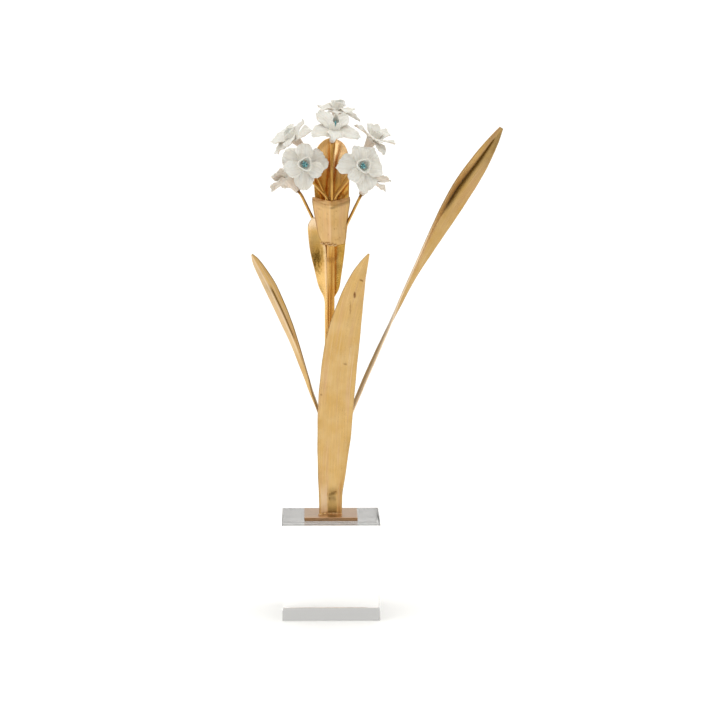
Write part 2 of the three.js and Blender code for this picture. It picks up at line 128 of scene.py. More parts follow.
# Blade stations from root to tip: [x, y, z, half width, fold, twist, curl]
FRONT_LEAF = [
    [-0.3, -4.1, 82.9, 9.2, 0, 0, 9],
    [-0.3, -4.1, 91, 9.2, 0, 0, 8.5],
    [-0.2, -4.4, 101, 9.7, 0, 0, 7],
    [0.8, -5.6, 119.1, 11.3, 2, 0, 4.5],
    [2.5, -6.8, 146, 13.6, 4, 0, 2.5],
    [4, -8, 172.1, 14.5, 5, 0, 1.5],
    [6.5, -9, 202.1, 14.5, 6, 0, 1],
    [10.3, -10, 230.1, 13.7, 7, 0, 0.5],
    [16.5, -11.3, 258.8, 10.2, 8, 0, 0],
    [21.9, -12.5, 277.9, 6.8, 8, 0, 0],
    [26.5, -13.2, 289.4, 3.8, 6, 0, 0],
    [30.9, -14, 298.4, 0.7, 0, 0, 0],
]
LEFT_LEAF = [
    [-5.4, 1.8, 82.7, 3.3, 30, 80, 0],
    [-5.4, 1.8, 115, 3.3, 30, 85, 0],
    [-5.5, 1.8, 141, 3.3, 30, 88, 0],
    [-7.3, 1.7, 160, 3.5, 30, 90, 0],
    [-14.7, 1.2, 182.7, 4.1, 30, 75, 0],
    [-18.9, 0.6, 196.7, 4.6, 28, 62, 0],
    [-27.5, -0.8, 221.8, 5, 27, 44, 0],
    [-35.8, -2.2, 242.4, 5.6, 24, 27, 0],
    [-45.6, -4, 263.6, 5.6, 20, 10, 0],
    [-51.5, -5, 275.5, 5.3, 18, 8, 0],
    [-60, -6.6, 290.4, 3.4, 12, 6, 0],
    [-64, -7.6, 297.4, 0.8, 4, 5, 0],
]
RIGHT_LEAF = [
    [5.9, 1.8, 82.7, 3.6, 30, -80, 0],
    [5.9, 1.8, 108, 3.6, 30, -85, 0],
    [6.5, 1.8, 132, 3.7, 30, -88, 0],
    [10, 1.9, 150, 3.8, 30, -90, 0],
    [16, 2, 166, 4.6, 30, -90, 0],
    [24.5, 2.3, 188, 6.2, 28, -90, 0],
    [36.3, 3, 214.4, 5.9, 25, -90, 0],
    [48, 4, 238.9, 6.2, 14, -85, 0],
    [58, 5, 261.4, 5.6, 18, -68, 0],
    [67.1, 6, 280.4, 6.2, 22, -58, 0],
    [76.4, 7, 299.3, 8.7, 25, -52, 0],
    [87.5, 8, 321.7, 12, 28, -46, 0],
    [100.8, 9, 344.8, 13.2, 28, -40, 0],
    [109.9, 9.6, 357.5, 12.1, 27, -34, 0],
    [118.5, 10, 368.7, 10, 25, -28, 0],
    [127.1, 10.6, 380.6, 7.1, 22, -22, 0],
    [134.2, 11, 390.7, 4.4, 15, -20, 0],
    [139.3, 11.4, 398.4, 1.8, 5, -20, 0],
]
BACK_BRACT = [
    [0.8, 4.4, 261, 2.8, 12, 0, 0],
    [0.9, 4.6, 268, 6.2, 11, 0, 0],
    [1.1, 5.2, 279, 8, 10, 0, 0],
    [1.2, 6, 290, 9.4, 10, 0, 0],
    [1.3, 7.4, 309, 11.6, 12, 0, 0],
    [1.3, 8.6, 323, 13.4, 15, 0, 0],
    [1.2, 10, 341, 14.6, 18, 0, 0],
    [1.1, 12.4, 355, 15, 17, 0, 0],
    [1.1, 16.3, 372, 14.4, 15, 0, 0],
    [1, 20.2, 381, 11.8, 12, 0, 0],
    [0.8, 23.2, 386.5, 6.6, 8, 0, 0],
    [0.8, 24.6, 388.7, 1.2, 3, 0, 0],
]
LEFT_BRACT = [
    [-3.75, -1.5, 216, 1.05, 0, 0, 0],
    [-3.75, -1.5, 246, 1.05, 0, 0, 0],
    [-4, -1.5, 260, 1.3, 0, 0, 0.2],
    [-6.4, -1.6, 271, 3.5, 0, 0, 0.6],
    [-8.2, -1.8, 285, 5.1, 0, 0, 1],
    [-10.2, -1.8, 300, 6.5, 0, 0, 0.6],
    [-12.4, -1.8, 313.5, 5.9, 0, 0, 0.5],
    [-13.4, -1.9, 321, 4.9, 0, 0, 0.4],
    [-13.2, -2, 326.8, 1.2, 0, 0, 0],
]

# Front bract, folded along a ridge: [x, y, z of the ridge, half width, y and z of the edges]
FRONT_BRACT = [
    [0.2, -4.4, 303.6, 6.4, -3.9, 305.5],
    [0.4, -6.6, 310.5, 10, -4.2, 312],
    [0.5, -9, 320, 12.4, -4.4, 322.5],
    [0.5, -11.3, 329.5, 14.3, -4.6, 332.5],
    [0.5, -13, 336, 15.4, -4.8, 340.3],
    [0.5, -7.2, 340.6, 15.2, -1, 343.2],
]

# Blooms: centre, axis, seat on the bar (face and side, or corner), heights of the wire's
# climb, cup's rim radius and height, the directions of its beak and notch, how far it
# flares, leans and is squeezed, and the petals as (direction, length, lift, bluntness),
# with the outer layer first
BLOOMS = {
    "top": {
        "centre": (5.9, 12, 414.1),
        "axis": (0.1, -0.1, 0.99),
        "face": (1, -1),
        "climb": [314, 344],
        "cup": (5.7, 6.4),
        "flare": 0.06,
        "beak": 40,
        "petals": [
            (155, 17.5, 1, 0.2), (-17, 20.5, -18, -0.3), (-96, 15.5, 1, 1),
            (90, 16, 4, 0.5), (-42, 15.5, 3, 0.9), (210, 17, -4, 0.1),
        ],
    },
    "middle": {
        "centre": (3.2, -14, 400.9),
        "axis": (0.12, -0.6, 0.79),
        "face": (3, -1),
        "climb": [314, 352],
        "cup": (5.8, 8.6),
        "lean": 0.2,
        "squeeze": 0.5,
        "beak": 90,
        "notch": -88,
        "petals": [
            (-21, 22, 3, 0.05), (208, 20.5, 2, 0.25), (92, 15, -10, 0.3),
            (-86, 18, 14, 0.3), (52, 17, 13, 0.1), (140, 19.5, 11, 0.3),
        ],
    },
    "upper_left": {
        "centre": (-31.1, 2, 392.9),
        "axis": (-0.65, -0.25, 0.72),
        "face": (1, 1),
        "climb": [314, 343],
        "cup": (5.4, 5.6),
        "flare": 0.08,
        "beak": 100,
        "petals": [
            (190, 19.5, 0, 0.3), (-43, 22, -3, 0), (57, 19, 0, 0.6),
            (152, 19.5, 15, 0.2), (102, 18, 12, 0.6), (-105, 17, 4, 0.4),
        ],
    },
    "left_front": {
        "centre": (-21.5, -20, 371.6),
        "axis": (0.2, -0.95, 0.24),
        "face": (2, 1),
        "climb": [314, 343],
        "cup": (5.8, 6.8),
        "beak": -50,
        "petals": [
            (31, 19.5, -4, 1), (162, 18.5, -3, 0.85), (-82, 20, -4, 0.5),
            (100, 17, 6, 0.7), (-14, 16, 6, 0.8), (212, 16.5, 6, 0.8),
        ],
    },
    "lower_left": {
        "centre": (-35.3, 8, 357.6),
        "axis": (-0.62, 0.35, 0.67),
        "corner": 1,
        "climb": [306],
        "cup": (6, 7.4),
        "beak": 60,
        "petals": [
            (-150, 18, 2, 0.2), (-30, 18, 0, 0.4), (90, 18, 0, 0.6),
            (-104, 17, 22, 0.8), (30, 16, 8, 0.7), (150, 16, 8, 0.7),
        ],
    },
    "upper_right": {
        "centre": (34.6, 4, 390.9),
        "axis": (0.5, -0.02, 0.86),
        "face": (0, 1),
        "climb": [314, 343],
        "cup": (5.6, 6.6),
        "flare": 0.05,
        "beak": 20,
        "petals": [
            (182, 18, 14, 0.25), (-13, 19.5, 23, 0.2), (-44, 17.5, -16, 0.4),
            (112, 16, 40, 0.7), (38, 15.5, 48, 0.8), (-84, 17, 5, 0.7),
        ],
    },
    "right_front": {
        "centre": (25.5, -20, 370.3),
        "axis": (0.26, -0.93, 0.24),
        "face": (3, 1),
        "climb": [314, 343],
        "cup": (5.9, 6.8),
        "beak": -62,
        "petals": [
            (184, 19.5, -4, 0.8), (58, 17.5, -3, 0.9), (-60, 20.5, -4, 0.7),
            (112, 16.5, 6, 0.9), (4, 16.5, 6, 0.8), (-112, 15.5, 6, 0.8),
        ],
    },
    "lower_right": {
        "centre": (31.4, 6, 356.8),
        "axis": (0.45, 0.3, 0.84),
        "corner": 3,
        "climb": [304],
        "cup": (6, 7.4),
        "beak": 0,
        "petals": [
            (25, 17.5, 2, 0), (145, 15, -8, 0.4), (-95, 16, 4, 0.4),
            (-38, 20.5, 15, 0), (85, 16, 0, 0.4), (200, 13, -2, 0.4),
        ],
    },
}

# Worn spots and tool marks on the front leaf: [x, z, half width, half height, strength]
FRONT_MARKS = [
    [25.0, 276.6, 2.4, 0.7, 0.8],
    [19.4, 264.5, 1.0, 2.6, 0.9],
    [15.9, 253.5, 0.5, 6.5, 0.45],
    [11.9, 207.5, 1.5, 0.9, 0.6],
    [-7.8, 182.5, 0.9, 0.6, 0.6],
    [3.6, 101.0, 1.4, 0.7, 0.5],
    [-1.2, 95.0, 0.8, 1.1, 0.5],
]


# Numbers


def smoothstep(low, high, value):
    """Rises smoothly from 0 at low to 1 at high."""
    t = min(max((value - low) / (high - low), 0.0), 1.0)
    return t * t * (3 - 2 * t)


def fade(low, high, value):
    """Falls smoothly from 1 at low to 0 at high."""
    return 1 - smoothstep(low, high, value)


def bell(value, middle, width):
    """Rises smoothly to 1 at the middle and falls off over the width."""
    return math.exp(-(((value - middle) / width) ** 2))


def rough(x, y, z=0.0):
    """Smooth random value between about -1 and 1."""
    return noise.noise(Vector((x, y, z)))


def spline(points, t):
    """Smooth curve through lists of numbers, for t from 0 to 1."""
    last = len(points) - 1
    place = min(max(t, 0.0), 1.0) * last
    i = min(int(place), last - 1)
    f = place - i
    here, following = points[i], points[i + 1]
    before = points[i - 1] if i > 0 else [2 * a - b for a, b in zip(here, following)]
    beyond = [2 * b - a for a, b in zip(here, following)] if i + 2 > last else points[i + 2]
    values = []
    for a, b, c, d in zip(before, here, following, beyond):
        start, stop = (c - a) / 2, (d - b) / 2
        cubic = 2 * b - 2 * c + start + stop
        square = 3 * c - 3 * b - 2 * start - stop
        values.append(((cubic * f + square) * f + start) * f + b)
    return values


def even_rows(points, step):
    """(t, distance along, distance to the nearer end) at even steps, closer at both ends."""
    count = 400
    spots = [Vector(spline(points, i / count)[:3]) for i in range(count + 1)]
    lengths = [0.0]
    for a, b in zip(spots, spots[1:]):
        lengths.append(lengths[-1] + (b - a).length)
    total = lengths[-1]
    ends = [0.0, 0.08, 0.22, 0.42]
    inner = max(2, round((total - 2) / step))
    along = ends + [0.8 + (total - 1.6) * i / inner for i in range(inner + 1)]
    along += [total - end for end in reversed(ends)]
    rows = []
    at = 0
    for distance in along:
        while at < count - 1 and lengths[at + 1] < distance:
            at += 1
        share = (distance - lengths[at]) / (lengths[at + 1] - lengths[at])
        rows.append(((at + share) / count, distance, min(distance, total - distance)))
    return rows


# Meshes. The grain attribute holds millimetres across and along a piece and a seed. The
# tone attribute holds three shares: on gold, worn to the red-brown ground, darkened (an
# even tarnish on the bar and wires, painted shade on the sheets) and paled (painted
# highlight, and a slight even paling of the beads); on porcelain, tinted beige and darkened
# by painted shade deep in the cups; on glaze, how dark it is.


def new_mesh():
    """An empty mesh with both attributes."""
    bm = bmesh.new()
    bm.verts.layers.float_vector.new("grain")
    bm.verts.layers.float_vector.new("tone")
    return bm


def layers(bm):
    """The grain and the tone attribute of a mesh."""
    held = bm.verts.layers.float_vector
    return held["grain"], held["tone"]


def skin(bm, columns, rows, place):
    """Adds a closed body: a grid rolled into a tube, with both ends filled. place(turn, row)
    gives a point, its grain and its tone, with turn from 0 to 1 round the tube."""
    grain, tone = layers(bm)
    made = bmesh.ops.create_grid(bm, x_segments=columns, y_segments=rows - 1, size=1)
    rim = []
    for vert in made["verts"]:
        column = round((vert.co.x + 1) / 2 * columns) % columns
        row = round((vert.co.y + 1) / 2 * (rows - 1))
        if vert.is_boundary:
            rim.append(vert)
        point, vert[grain], vert[tone] = place(column / columns, row)
        vert.co = point * MM
    bmesh.ops.remove_doubles(bm, verts=rim, dist=MERGE_DISTANCE)
    kept = [vert for vert in rim if vert.is_valid]
    open_edges = {e for vert in kept for e in vert.link_edges if e.is_boundary}
    bmesh.ops.holes_fill(bm, edges=list(open_edges), sides=0)


def edge_profile(distance, radius):
    """Share of the full thickness at a distance from a round edge."""
    t = 1 - min(distance / radius, 1.0)
    return math.sqrt(max(1 - t * t, 0.0))


def add_sheet(bm, surface, half_at, rows, thickness, ring, seed, tone_at):
    """Adds a sheet with round edges. surface(v, t) is its middle, for v from -1 to 1."""
    nudge = 1e-3

    def place(turn, row):
        t, distance, end = rows[row]
        angle = 2 * math.pi * turn
        v = math.cos(angle)
        half = half_at(t)
        point = surface(v, t)
        side = 1 if v < 0 else -1
        across = (surface(v + side * nudge, t) - point) * side
        back, ahead = surface(v, t - nudge), surface(v, t + nudge)
        normal = across.cross(ahead - back).normalized()
        thick = thickness / 2 * edge_profile(end, EDGE_RADIUS) + EDGE_HALF_THICKNESS
        thick *= edge_profile((1 - abs(v)) * half, min(EDGE_RADIUS, 0.7 * half))
        face = 1 if math.sin(angle) >= 0 else -1
        moved = point + normal * (thick * face)
        grain = (v * half, distance, seed + (0 if face > 0 else 37))
        return moved, grain, tone_at(moved, v, face)

    skin(bm, ring, len(rows), place)


def box_mesh(side_x, side_y, height, edge, segments):
    """A box standing on z = 0 with round edges. Its flat faces stay flat shaded."""
    bm = new_mesh()
    bmesh.ops.create_cube(bm, size=1)
    size = Matrix.Diagonal((side_x * MM, side_y * MM, height * MM, 1))
    bmesh.ops.transform(bm, matrix=size, verts=bm.verts)
    bmesh.ops.translate(bm, vec=(0, 0, height * MM / 2), verts=bm.verts)
    for face in bm.faces:
        face.smooth = False
    rounded = bmesh.ops.bevel(
        bm,
        geom=bm.edges[:],
        affect="EDGES",
        offset=edge * MM,
        segments=segments,
        profile=0.5,
        material=-1,
    )
    for face in rounded["faces"]:
        face.smooth = True
    return bm


def grain_from_place(bm, along="z", seed=0.0):
    """Sets the grain from each vertex's place, with its length along z or x."""
    grain, _ = layers(bm)
    for vert in bm.verts:
        x, y, z = vert.co / MM
        vert[grain] = (x, z, y + seed) if along == "z" else (z + y, x, seed)


def add_object(name, data):
    """Puts a mesh, lamp or camera into the scene."""
    made = bpy.data.objects.new(name, data)
    bpy.context.scene.collection.objects.link(made)
    return made


def add_piece(bm, name, material, replaced=(), shade=True):
    """Turns a finished mesh into a piece of the part, in place of the replaced nodes. shade
    smooths every face but the filled ends."""
    bmesh.ops.recalc_face_normals(bm, faces=bm.faces)
    if shade:
        for face in bm.faces:
            face.smooth = len(face.verts) < 5
    mesh = bpy.data.meshes.new(name)
    bm.to_mesh(mesh)
    bm.free()
    mesh.materials.append(material)
    made = add_object(name, mesh)
    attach(made, "root")
    if replaced:
        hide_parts(*replaced)
    return made


# Shaders


def linear(code):
    """Linear colour with alpha 1 from an sRGB hex code."""
    channels = [int(code[i : i + 2], 16) / 255 for i in (1, 3, 5)]
    light = [c / 12.92 if c <= 0.04045 else ((c + 0.055) / 1.055) ** 2.4 for c in channels]
    return light + [1.0]


def add_node(tree, kind, inputs=(), **settings):
    """Adds a node and returns it. inputs gives its sockets, as a dictionary or in their
    order, a value, an output or a node, whose first output in use is then linked."""
    item = tree.nodes.new(kind)
    for key, value in settings.items():
        setattr(item, key, value)
    pairs = inputs.items() if isinstance(inputs, dict) else enumerate(inputs)
    for key, value in pairs:
        if isinstance(value, bpy.types.Node):
            value = next(output for output in value.outputs if output.enabled)
        if isinstance(value, bpy.types.NodeSocket):
            tree.links.new(value, item.inputs[key])
        else:
            item.inputs[key].default_value = value
    return item


def new_material(name):
    material = bpy.data.materials.new(name)
    material.use_nodes = True
    material.node_tree.nodes.clear()
    return material, material.node_tree


def finish_material(tree, inputs):
    """Adds the shader and the output."""
    shader = add_node(tree, "ShaderNodeBsdfPrincipled", inputs)
    add_node(tree, "ShaderNodeOutputMaterial", {"Surface": shader})


def read_tone(tree):
    """The three shares of the tone attribute, as outputs X, Y and Z."""
    tone = add_node(tree, "ShaderNodeAttribute", attribute_name="tone")
    return add_node(tree, "ShaderNodeSeparateXYZ", (tone.outputs["Vector"],)).outputs


def add_pattern(tree, scale, detail, squeeze=(1, 1, 1)):
    """Random pattern that follows the grain, with features of about 1 / scale millimetres,
    drawn out along an axis where squeeze is small."""
    grain = add_node(tree, "ShaderNodeAttribute", attribute_name="grain")
    mapping = {"Vector": grain.outputs["Vector"], "Scale": squeeze}
    stretched = add_node(tree, "ShaderNodeMapping", mapping)
    return add_node(
        tree,
        "ShaderNodeTexNoise",
        {"Vector": stretched, "Scale": scale, "Detail": detail, "Roughness": 0.55},
    )


def add_coats(tree, colour, coats):
    """Lays coats of colour over a first one, each with its share and its way of mixing.
    Sockets 0, 6 and 7 are the share and the two colours."""
    for share, coat, blend in coats:
        colour = add_node(
            tree,
            "ShaderNodeMix",
            {0: share, 6: colour, 7: coat},
            data_type="RGBA",
            blend_type=blend,
        )
    return colour


def add_relief(tree, patterns, strength, distance):
    """Bump from patterns and their shares. distance is its height in metres."""
    height = 0.0
    for pattern, share in patterns:
        height = add_node(
            tree, "ShaderNodeMath", (pattern, share, height), operation="MULTIPLY_ADD"
        )
    return add_node(
        tree,
        "ShaderNodeBump",
        {"Height": height, "Strength": strength, "Distance": distance},
    )


def gilt_material(name, tints, roughness, line_scale):
    """Lacquered gold leaf on hammered metal, with the red-brown ground showing where worn,
    darkened gold (an even tarnish on the bar and wires, painted shade in the folds, hollows
    and darker halves of the sheets) and pale silver (painted highlights, and scratches).
    tints are the pale, the main and the rosy gold. Real drag lines are a few tenths of a
    millimetre wide, too fine to show, so they are drawn just over 1 mm wide."""
    material, tree = new_material(name)
    tone = read_tone(tree)
    lines = add_pattern(tree, line_scale, 6, (1, 0.045, 1))
    bands = add_pattern(tree, 0.22, 3, (1, 0.07, 1))
    clouds = add_pattern(tree, 0.06, 4)
    specks = add_pattern(tree, 1.7, 3)
    scratches = add_pattern(tree, 1.2, 2, (1, 0.01, 1))
    cloudy = add_node(tree, "ShaderNodeMapRange", (clouds, 0.35, 0.65, 0, 1))
    banded = add_node(tree, "ShaderNodeMapRange", (bands, 0.5, 0.72, 0, 0.55))
    scratched = add_node(tree, "ShaderNodeMapRange", (scratches, 0.6, 0.72, 0, 0.3))
    lined = add_node(tree, "ShaderNodeMapRange", (lines, 0.3, 0.7, 0.88, 1.06))
    ragged = add_node(tree, "ShaderNodeMapRange", (specks, 0.3, 0.7, 0.65, 1.35))
    worn, dark = [
        add_node(tree, "ShaderNodeMath", (share, ragged), operation="MULTIPLY", use_clamp=True)
        for share in (tone["X"], tone["Y"])
    ]
    pale, main, rose = [linear(code) for code in tints]
    ground, tarnish_and_shade, silvery = [linear(code) for code in ("#7a4a1c", "#4e340c", "#f6dfc2")]
    colour = add_coats(
        tree,
        main,
        [
            (cloudy, pale, "MIX"),
            (banded, rose, "MIX"),
            # Pale share: painted highlight, and a slight even paling of the beads.
            (tone["Z"], silvery, "MIX"),
            (scratched, silvery, "MIX"),
            (1.0, lined, "MULTIPLY"),
            (worn, ground, "MIX"),
            # Dark share: an even tarnish on the bar and wires, and painted shade on the
            # sheets.
            (dark, tarnish_and_shade, "MIX"),
        ],
    )
    smooth, satin = roughness - 0.05, roughness + 0.07
    gloss = add_node(tree, "ShaderNodeMapRange", (lines, 0.3, 0.7, smooth, satin))
    dulled = add_node(tree, "ShaderNodeMath", (worn, 0.2, gloss), operation="MULTIPLY_ADD")
    lacquer = add_node(tree, "ShaderNodeMapRange", (dark, 0.0, 0.35, 0.4, 0.0))
    relief = [(specks, 0.35), (lines, 0.5), (clouds, 4.0)]
    finish_material(
        tree,
        {
            "Base Color": colour,
            "Metallic": 1.0,
            "Roughness": dulled,
            "Coat Weight": lacquer,
            "Coat Roughness": 0.2,
            "Normal": add_relief(tree, relief, 0.5, 0.00012),
        },
    )
    return material


def porcelain_material():
    """Unglazed white porcelain with fine lines along each petal and a rosy beige tint on
    the undersides and tubes. It scatters a little light under its matt skin."""
    material, tree = new_material("bisque porcelain")
    tone = read_tone(tree)
    lines = add_pattern(tree, 0.95, 4, (1, 0.1, 1))
    clouds = add_pattern(tree, 0.13, 3)
    specks = add_pattern(tree, 2.6, 2)
    cloudy = add_node(tree, "ShaderNodeMapRange", (clouds, 0.35, 0.65, 0, 1))
    lined = add_node(tree, "ShaderNodeMapRange", (lines, 0.3, 0.7, 0.88, 1.05))
    colour = add_coats(
        tree,
        linear("#e9e8e2"),
        [
            (cloudy, linear("#e3dfd5"), "MIX"),
            (tone["X"], linear("#dfcfbe"), "MIX"),
            # Shaded share: painted shade deep inside the cups.
            (tone["Y"], linear("#8f8470"), "MIX"),
            (1.0, lined, "MULTIPLY"),
        ],
    )
    finish_material(
        tree,
        {
            "Base Color": colour,
            "Roughness": 0.72,
            "Specular IOR Level": 0.35,
            "Subsurface Weight": 0.12,
            "Subsurface Radius": (1.0, 0.75, 0.55),
            "Subsurface Scale": 0.0012,
            "Normal": add_relief(tree, [(lines, 1.0), (specks, 0.2)], 0.8, 0.0006),
        },
    )
    return material


def glaze_material():
    """Pooled turquoise glaze, glassy, and darker where the tone attribute says: towards the
    foot of each drop and on every second stamen.
    """
    material, tree = new_material("turquoise glaze")
    clouds = add_pattern(tree, 0.8, 3)
    cloudy = add_node(tree, "ShaderNodeMapRange", (clouds, 0.38, 0.66, 0, 1))
    colour = add_coats(
        tree,
        linear("#54b8c4"),
        [
            (cloudy, linear("#c2ebea"), "MIX"),
            (read_tone(tree)["X"], linear("#06262f"), "MIX"),
        ],
    )
    finish_material(
        tree,
        {
            "Base Color": colour,
            "Roughness": 0.12,
            "Coat Weight": 0.6,
            "Coat Roughness": 0.04,
        },
    )
    return material


def clear_material():
    """Polished clear cast acrylic, with the faintest haze of a hand-polished face."""
    material, tree = new_material("clear acrylic")
    clouds = add_pattern(tree, 0.02, 1)
    haze = add_node(tree, "ShaderNodeMapRange", (clouds, 0.3, 0.7, 0.0, 0.02))
    finish_material(
        tree,
        {
            "Base Color": (1.0, 1.0, 0.997, 1.0),
            "Roughness": haze,
            "IOR": 1.49,
            "Transmission Weight": 1.0,
        },
    )
    return material


# Soft satin gold of the leaves, and the paler sheet of the front bract
GILT = gilt_material("gold leaf", ("#d8b478", "#d0a762", "#cda27c"), 0.3, 0.9)
PALE_GILT = gilt_material("pale gold leaf", ("#dcb67c", "#d2a868", "#d0a37c"), 0.32, 0.7)

# Glossier, yellower gold of the bar and the wires, and a deeper, more saturated copy of it on
# the back and left bracts, its amber a painted reflection of gold in gold
AMBER_GILT = gilt_material("amber gold leaf", ("#e6b866", "#dca148", "#d89a58"), 0.2, 0.7)
DEEP_GILT = gilt_material("deep gold leaf", ("#f4c668", "#edb348", "#e4a94c"), 0.22, 0.7)

# Thin gold of the plate, over a ground that shows through rosy
ROSY_GILT = gilt_material("rosy gold leaf", ("#dfb78c", "#d6a97c", "#cf9f86"), 0.3, 0.8)

PORCELAIN = porcelain_material()
GLAZE = glaze_material()
CLEAR = clear_material()


# Base


def add_base():
    """The clear block, and the plate with worn sides that rests on it."""
    block = box_mesh(BLOCK_SIDE, BLOCK_SIDE, BLOCK_HEIGHT, BLOCK_EDGE, 3)
    grain_from_place(block)
    add_piece(block, "acrylic_block", CLEAR, ["clear_block"], shade=False)

    plate = box_mesh(PLATE_SIDE, PLATE_SIDE, PLATE_THICKNESS, 0.35, 3)
    bmesh.ops.translate(plate, vec=(0, 0, PLATE_BOTTOM * MM), verts=plate.verts)
    grain_from_place(plate, along="x", seed=5)
    _, tone = layers(plate)
    for vert in plate.verts:
        reach = max(abs(vert.co.x), abs(vert.co.y))
        side = reach > (PLATE_SIDE / 2 - 0.05) * MM
        # Worn sides, and a faint painted highlight on the top and bottom faces.
        vert[tone] = (0.5 * side, 0, 0.1 * (1 - side))
    add_piece(plate, "gilt_plate", ROSY_GILT, ["base_plate"], shade=False)


def add_stem():
    """Square bar with worn edges, slightly uneven, and a seam below the flower head."""
    bm = new_mesh()
    half = STEM_SIDE / 2
    corner = 0.55
    rows = round((STEM_TOP - STEM_BOTTOM) / 2) + 1

    def place(turn, row):
        z = STEM_BOTTOM + (STEM_TOP - STEM_BOTTOM) * row / (rows - 1)
        angle = 2 * math.pi * turn + math.pi / 4
        x, y = math.cos(angle), math.sin(angle)
        reach = max(abs(x), abs(y))
        x, y = x / reach * half, y / reach * half
        beyond = Vector((max(abs(x) - half + corner, 0), max(abs(y) - half + corner, 0)))
        pull = min(corner / beyond.length, 1.0) if beyond.length > 0 else 1.0
        x = math.copysign(min(abs(x), half - corner) + beyond.x * pull, x)
        y = math.copysign(min(abs(y), half - corner) + beyond.y * pull, y)
        swell = 1 + 0.012 * rough(turn * 6, z / 14, 3)
        swell += 0.05 * bell(z, STEM_SEAM, 1.3)
        point = Vector((x * swell, y * swell, z))
        point.rotate(Quaternion((0, 0, 1), STEM_TURN))
        seam = 0.8 * bell(z - STEM_SEAM, 1.5, 1)
        foot = 0.9 * fade(0.5, 3.5, z - STEM_BOTTOM)
        return point, (turn * 4 * STEM_SIDE, z, 11), (max(seam, foot), 0.16, 0)

    skin(bm, 48, rows, place)
    add_piece(bm, "gilt_stem", AMBER_GILT, ["stem"])


# Blades


def blade_shape(stations, crease, waves, recess=None):
    """surface(v, t) and half_at(t) of a blade. crease is how softly it folds."""

    @functools.lru_cache(maxsize=None)
    def frame_at(t):
        x, y, z, half, fold, twist, curl = spline(stations, t)
        before, after = spline(stations, t - 1e-4), spline(stations, t + 1e-4)
        tangent = (Vector(after[:3]) - Vector(before[:3])).normalized()
        facing = Vector((0, -1, 0))
        facing = (facing - tangent * facing.dot(tangent)).normalized()
        facing.rotate(Quaternion(tangent, -math.radians(twist)))
        return Vector((x, y, z)), tangent.cross(facing), facing, half, fold, curl

    def surface(v, t):
        middle, across, facing, half, fold, curl = frame_at(t)
        lean = math.radians(fold)
        bent = math.sqrt(v * v + crease * crease) - crease
        z = middle.z
        wide = half + waves * rough(z / 16, 3 * (v > 0), 1.7) * min(half / 4, 1)
        forward = bent * half * math.sin(lean) + curl * v * v
        forward += waves * v * v * rough(z / 22, 9 * (v > 0), 4.1)
        forward += 0.12 * rough(v * half / 7, z / 9, 8.3)
        if recess:
            forward -= recess(v, z)
        return middle + across * (v * wide * math.cos(lean)) + facing * forward

    def half_at(t):
        return frame_at(t)[3]

    return surface, half_at


def front_channel(v, z):
    """The front leaf's foot: a flat channel with a tall wall on the left, reaching forward,
    and a low one on the right. Its floor is scooped out under a round upper end."""
    low = fade(97, 120, z)
    curl = 9 - 4.5 * smoothstep(83, 119, z)
    left = 5.2 * (max(-v - 0.24, 0) / 0.76) ** 1.15
    right = 3 * (max(v - 0.55, 0) / 0.45) ** 1.3
    inside = fade(0.3, 0.5, abs(v - 0.18) + 0.12 * rough(v * 4, z / 5, 3.3))
    scoop = 0.7 * bell(z, 99, 4.5)
    return low * (curl * v * v - left - right) + inside * scoop


def front_leaf_shape():
    """The front leaf with its foot channel."""
    return blade_shape(FRONT_LEAF, 0.1, 0.3, front_channel)


def front_tone(point, v, face):
    """Worn spots; painted shadow as a dark patch under the round upper end of the foot
    channel, and painted shade on the channel's floor; a painted highlight on its left wall."""
    z = point.z
    worn = 0.0
    if face > 0:
        for x, mark_z, wide, high, strength in FRONT_MARKS:
            distance = math.hypot((point.x - x) / wide, (z - mark_z) / high)
            worn = max(worn, strength * fade(0.6, 1.2, distance))
    foot = 0.85 * fade(0.4, 2.6, z - PLATE_TOP)
    foot *= 0.5 + 0.5 * rough(point.x / 1.5, z)
    worn = max(worn, foot, 0.3 * smoothstep(0.965, 1.0, abs(v)))
    # Painted shadow under the round upper end of the channel.
    painted_arch_shadow = math.hypot((point.x - 1.2) / 4.2, (z - 98.5 - 0.25 * point.x) / 2.4)
    painted_arch_shadow = 0.75 * fade(0.2, 1.1, painted_arch_shadow + 0.5 * rough(point.x, z, 3))
    off = abs(v - 0.18 + 0.16 * rough(z / 4, v * 3))
    # Painted shade on the channel's floor, under its upper end and near the foot.
    floor = fade(0.3, 0.5, off)
    arch = z + 30 * off * off + 2 * rough(v * 3, z / 4, 6)
    floor *= 0.2 * fade(98, 108, arch) + 0.25 * fade(84, 93, z)
    # Painted highlight on the channel's left wall.
    left = smoothstep(-0.25, -0.4, v) * smoothstep(-0.95, -0.85, v)
    left *= fade(96, 112, z)
    return worn, max(painted_arch_shadow, floor), 0.45 * left


def foot_scorch(z):
    """Red-brown scorch round a brazed foot."""
    return 0.7 * fade(0.4, 2.4, z - PLATE_TOP)


def left_tone(point, v, face):
    """Painted shade in a fold high on the left leaf and over its right half, painted highlight
    on its left half and in two thin lines, and red-brown ground at the rim, the foot and low
    on the right.
    """
    z = point.z
    # Painted shade in the fold and over the right half.
    fold = 0.95 * bell(v, 0.05, 0.2) * smoothstep(222, 232, z)
    fold *= fade(266, 274, z) * (face > 0)
    half = 0.24 * smoothstep(0.05, 0.3, v)
    # Painted highlight on the left half and in two thin lines.
    pale = 0.3 * smoothstep(0.05, -0.3, v) * smoothstep(190, 230, z)
    pale += 0.5 * bell(v, -0.32, 0.07) * smoothstep(200, 225, z)
    pale += 0.4 * bell(v, 0.45, 0.06) * smoothstep(225, 240, z)
    brown = 0.3 * smoothstep(0.3, 0.8, v) * fade(190, 215, z)
    rim = 0.5 * smoothstep(0.93, 1.0, v)
    return max(foot_scorch(z), brown, rim), max(fold, half), pale


